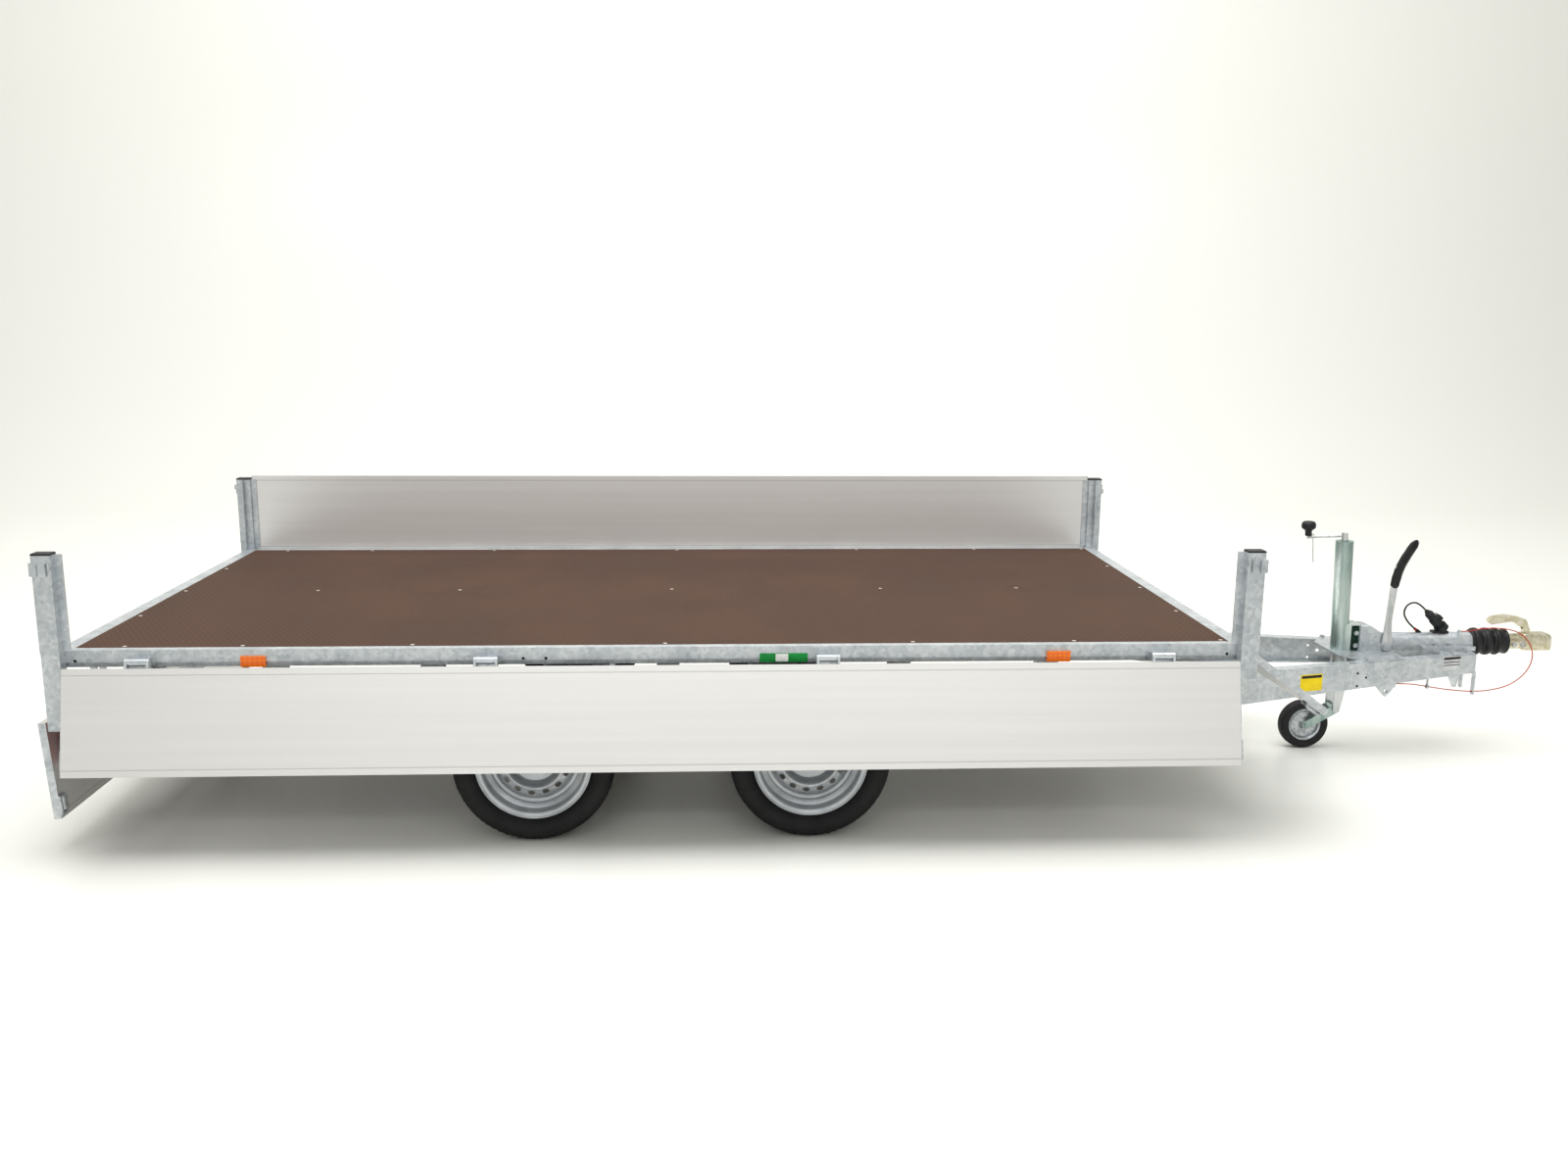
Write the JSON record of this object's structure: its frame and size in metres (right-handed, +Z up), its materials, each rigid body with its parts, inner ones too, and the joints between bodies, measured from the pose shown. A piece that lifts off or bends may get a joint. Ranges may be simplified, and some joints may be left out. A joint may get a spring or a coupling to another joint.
{
  "type": "tandem axle drop side trailer",
  "caption": "Tandem axle flatbed trailer with fold-down aluminium boards, corner posts, overrun coupling, handbrake and jockey wheel.",
  "frame": {"origin": "centre of the towing ball's socket in the coupling head", "axes": "+X forward along the trailer, +Y to its left, +Z up"},
  "size_m": [5.6817, 2.1014, 1.015],
  "materials": {
    "axle_paint": "galvanised swing arm and brake plate",
    "black_plastic": "moulded black plastic",
    "black_rubber": "moulded black rubber",
    "blue_zinc": "blue passivated zinc",
    "board_aluminium": "anodised profile, satin",
    "bright_steel_tube": "bright zinc",
    "cable_black": "black cable sheath",
    "cable_red": "red plastic coated steel wire",
    "dark_screw_steel": "zinc plated screws",
    "deck_ply": "brown phenolic film on plywood, satin",
    "galvanised_steel": "hot dip galvanised",
    "jockey_rubber": "solid rubber on a pressed rim",
    "orange_lens": "orange lamp lens",
    "red_lens": "red lamp lens",
    "tyre_rubber": "black tyre rubber",
    "wheel_silver": "silver painted steel rim",
    "yellow_zinc": "yellow passivated zinc",
    "zinc_bolt_steel": "bright zinc plated"
  },
  "bodies": {
    "root": {"axle_tubes": "galvanised_steel", "bellows": "black_rubber", "breakaway_cable": "cable_red", "cable_holders": "black_plastic", "chassis_beam_left": "galvanised_steel", "chassis_beam_right": "galvanised_steel", "corner_posts": "galvanised_steel", "deck_frame_rails": "galvanised_steel", "deck_panel": "deck_ply", "deck_screws": "dark_screw_steel", "drawbar_brackets": "galvanised_steel", "electric_cable": "cable_black", "electric_plug": "black_plastic", "frame_bolts": "zinc_bolt_steel", "hinge_brackets": "galvanised_steel", "jockey_outer_tube": "blue_zinc", "overrun_housing": "galvanised_steel", "platform_underframe": "galvanised_steel", "post_caps": "black_plastic", "side_markers": "orange_lens", "tail_lamps": "red_lens"},
    "left_board": {"left_board_panel": "board_aluminium", "left_board_fittings": "galvanised_steel"},
    "left_board_latch_a": {"left_board_latch_a": "zinc_bolt_steel"},
    "left_board_latch_b": {"left_board_latch_b": "zinc_bolt_steel"},
    "right_board": {"right_board_panel": "board_aluminium", "right_board_fittings": "galvanised_steel"},
    "right_board_latch_a": {"right_board_latch_a": "zinc_bolt_steel"},
    "right_board_latch_b": {"right_board_latch_b": "zinc_bolt_steel"},
    "front_board": {"front_board_panel": "board_aluminium", "front_board_fittings": "galvanised_steel"},
    "front_board_latch_a": {"front_board_latch_a": "zinc_bolt_steel"},
    "front_board_latch_b": {"front_board_latch_b": "zinc_bolt_steel"},
    "rear_board": {"rear_board_panel": "board_aluminium", "rear_board_fittings": "galvanised_steel"},
    "rear_board_latch_a": {"rear_board_latch_a": "zinc_bolt_steel"},
    "rear_board_latch_b": {"rear_board_latch_b": "zinc_bolt_steel"},
    "arm_front_left": {"swing_arm_front_left": "axle_paint"},
    "roadwheel_front_left": {"wheel_front_left": "wheel_silver", "tyre_front_left": "tyre_rubber"},
    "arm_front_right": {"swing_arm_front_right": "axle_paint"},
    "roadwheel_front_right": {"wheel_front_right": "wheel_silver", "tyre_front_right": "tyre_rubber"},
    "arm_rear_left": {"swing_arm_rear_left": "axle_paint"},
    "roadwheel_rear_left": {"wheel_rear_left": "wheel_silver", "tyre_rear_left": "tyre_rubber"},
    "arm_rear_right": {"swing_arm_rear_right": "axle_paint"},
    "roadwheel_rear_right": {"wheel_rear_right": "wheel_silver", "tyre_rear_right": "tyre_rubber"},
    "coupling": {"coupling_head": "yellow_zinc", "draw_tube": "bright_steel_tube", "coupling_bolts": "zinc_bolt_steel"},
    "coupling_handle": {"coupling_handle": "yellow_zinc"},
    "handbrake": {"handbrake_lever": "bright_steel_tube", "handbrake_grip": "black_rubber"},
    "jockey_leg": {"jockey_inner_tube": "bright_steel_tube"},
    "jockey_crank": {"jockey_crank": "bright_steel_tube"},
    "jockey_knob": {"jockey_knob": "black_plastic"},
    "jockey_fork": {"jockey_fork": "blue_zinc"},
    "jockey_wheel": {"jockey_wheel": "jockey_rubber"}
  },
  "joints": [
    {"name": "right_board_hinge", "type": "hinge", "parent": "root", "child": "right_board", "pos_m": [-3.6055, -0.989, 0.217], "axis": [-1, 0, 0], "range_deg": [0, 167]},
    {"name": "right_latch_a_swing", "type": "hinge", "parent": "right_board", "child": "right_board_latch_a", "pos_m": [-1.7045, -1.04543, -0.09634], "axis": [0, 0.225, 0.9744], "range_deg": [0, 100]},
    {"name": "right_latch_b_swing", "type": "hinge", "parent": "right_board", "child": "right_board_latch_b", "pos_m": [-5.5065, -1.04543, -0.09634], "axis": [0, -0.225, -0.9744], "range_deg": [0, 100]},
    {"name": "left_board_hinge", "type": "hinge", "parent": "root", "child": "left_board", "pos_m": [-3.6055, 0.989, 0.217], "axis": [-1, 0, 0], "range_deg": [0, 167]},
    {"name": "left_latch_a_swing", "type": "hinge", "parent": "left_board", "child": "left_board_latch_a", "pos_m": [-5.5065, 1.0045, 0.535], "axis": [0, 0, -1], "range_deg": [0, 100]},
    {"name": "left_latch_b_swing", "type": "hinge", "parent": "left_board", "child": "left_board_latch_b", "pos_m": [-1.7045, 1.0045, 0.535], "axis": [0, 0, 1], "range_deg": [0, 100]},
    {"name": "front_board_hinge", "type": "hinge", "parent": "root", "child": "front_board", "pos_m": [-1.628, 0, 0.211], "axis": [0, -1, 0], "range_deg": [0, 127]},
    {"name": "front_latch_a_swing", "type": "hinge", "parent": "front_board", "child": "front_board_latch_a", "pos_m": [-1.39374, 0.9275, 0.01507], "axis": [-0.7986, 0, 0.6018], "range_deg": [0, 100]},
    {"name": "front_latch_b_swing", "type": "hinge", "parent": "front_board", "child": "front_board_latch_b", "pos_m": [-1.39374, -0.9275, 0.01507], "axis": [0.7986, 0, -0.6018], "range_deg": [0, 100]},
    {"name": "rear_board_hinge", "type": "hinge", "parent": "root", "child": "rear_board", "pos_m": [-5.612, 0, 0.1305], "axis": [0, 1, 0], "range_deg": [0, 184]},
    {"name": "rear_latch_a_swing", "type": "hinge", "parent": "rear_board", "child": "rear_board_latch_a", "pos_m": [-5.59725, -0.9275, -0.27396], "axis": [-0.0698, 0, 0.9976], "range_deg": [0, 100]},
    {"name": "rear_latch_b_swing", "type": "hinge", "parent": "rear_board", "child": "rear_board_latch_b", "pos_m": [-5.59725, 0.9275, -0.27396], "axis": [0.0698, 0, -0.9976], "range_deg": [0, 100]},
    {"name": "arm_front_left_swing", "type": "hinge", "parent": "root", "child": "arm_front_left", "pos_m": [-2.96693, 0.712, -0.131], "axis": [0, 1, 0], "range_deg": [-5, 20], "stiffness_Nm_per_rad": 2270, "springref_deg": -3.78},
    {"name": "roadwheel_front_left_spin", "type": "hinge", "parent": "arm_front_left", "child": "roadwheel_front_left", "pos_m": [-3.115, 0.86, -0.155], "axis": [0, 1, 0], "continuous": true},
    {"name": "arm_front_right_swing", "type": "hinge", "parent": "root", "child": "arm_front_right", "pos_m": [-2.96693, -0.712, -0.131], "axis": [0, 1, 0], "range_deg": [-5, 20], "stiffness_Nm_per_rad": 2270, "springref_deg": -3.78},
    {"name": "roadwheel_front_right_spin", "type": "hinge", "parent": "arm_front_right", "child": "roadwheel_front_right", "pos_m": [-3.115, -0.86, -0.155], "axis": [0, 1, 0], "continuous": true},
    {"name": "arm_rear_left_swing", "type": "hinge", "parent": "root", "child": "arm_rear_left", "pos_m": [-3.90293, 0.712, -0.131], "axis": [0, 1, 0], "range_deg": [-5, 20], "stiffness_Nm_per_rad": 2270, "springref_deg": -3.78},
    {"name": "roadwheel_rear_left_spin", "type": "hinge", "parent": "arm_rear_left", "child": "roadwheel_rear_left", "pos_m": [-4.051, 0.86, -0.155], "axis": [0, 1, 0], "continuous": true},
    {"name": "arm_rear_right_swing", "type": "hinge", "parent": "root", "child": "arm_rear_right", "pos_m": [-3.90293, -0.712, -0.131], "axis": [0, 1, 0], "range_deg": [-5, 20], "stiffness_Nm_per_rad": 2270, "springref_deg": -3.78},
    {"name": "roadwheel_rear_right_spin", "type": "hinge", "parent": "arm_rear_right", "child": "roadwheel_rear_right", "pos_m": [-4.051, -0.86, -0.155], "axis": [0, 1, 0], "continuous": true},
    {"name": "overrun_slide", "type": "slide", "parent": "root", "child": "coupling", "axis": [1, 0, 0], "range_m": [-0.08, 0], "stiffness_N_per_m": 6000, "springref_m": 0.03, "deforming": ["bellows"]},
    {"name": "coupling_handle_lift", "type": "hinge", "parent": "coupling", "child": "coupling_handle", "pos_m": [-0.078, 0, 0.064], "axis": [0, 1, 0], "range_deg": [0, 50]},
    {"name": "handbrake_swing", "type": "hinge", "parent": "root", "child": "handbrake", "pos_m": [-0.692, -0.053, 0.012], "axis": [0, 1, 0], "range_deg": [0, 60]},
    {"name": "jockey_crank_turn", "type": "hinge", "parent": "root", "child": "jockey_crank", "pos_m": [-0.87923, 0, 0.43972], "axis": [-0.0349, 0, 0.9994], "range_deg": [-3600, 1500]},
    {"name": "jockey_leg_slide", "type": "slide", "parent": "root", "child": "jockey_leg", "axis": [-0.0349, 0, 0.9994], "range_m": [-0.1202, 0.0502]},
    {"name": "jockey_knob_spin", "type": "hinge", "parent": "jockey_crank", "child": "jockey_knob", "pos_m": [-1.03288, 0, 0.48438], "axis": [-0.0349, 0, 0.9994], "continuous": true},
    {"name": "jockey_fork_fold", "type": "hinge", "parent": "jockey_leg", "child": "jockey_fork", "pos_m": [-0.87, 0, -0.261], "axis": [0, 1, 0], "range_deg": [0, 55]},
    {"name": "jockey_wheel_spin", "type": "hinge", "parent": "jockey_fork", "child": "jockey_wheel", "pos_m": [-0.99, 0, -0.33], "axis": [0, 1, 0], "continuous": true}
  ],
  "couplings": [
    {"joint": "jockey_leg_slide", "follows": "jockey_crank_turn", "m_per_rad": 0.0019099}
  ]
}
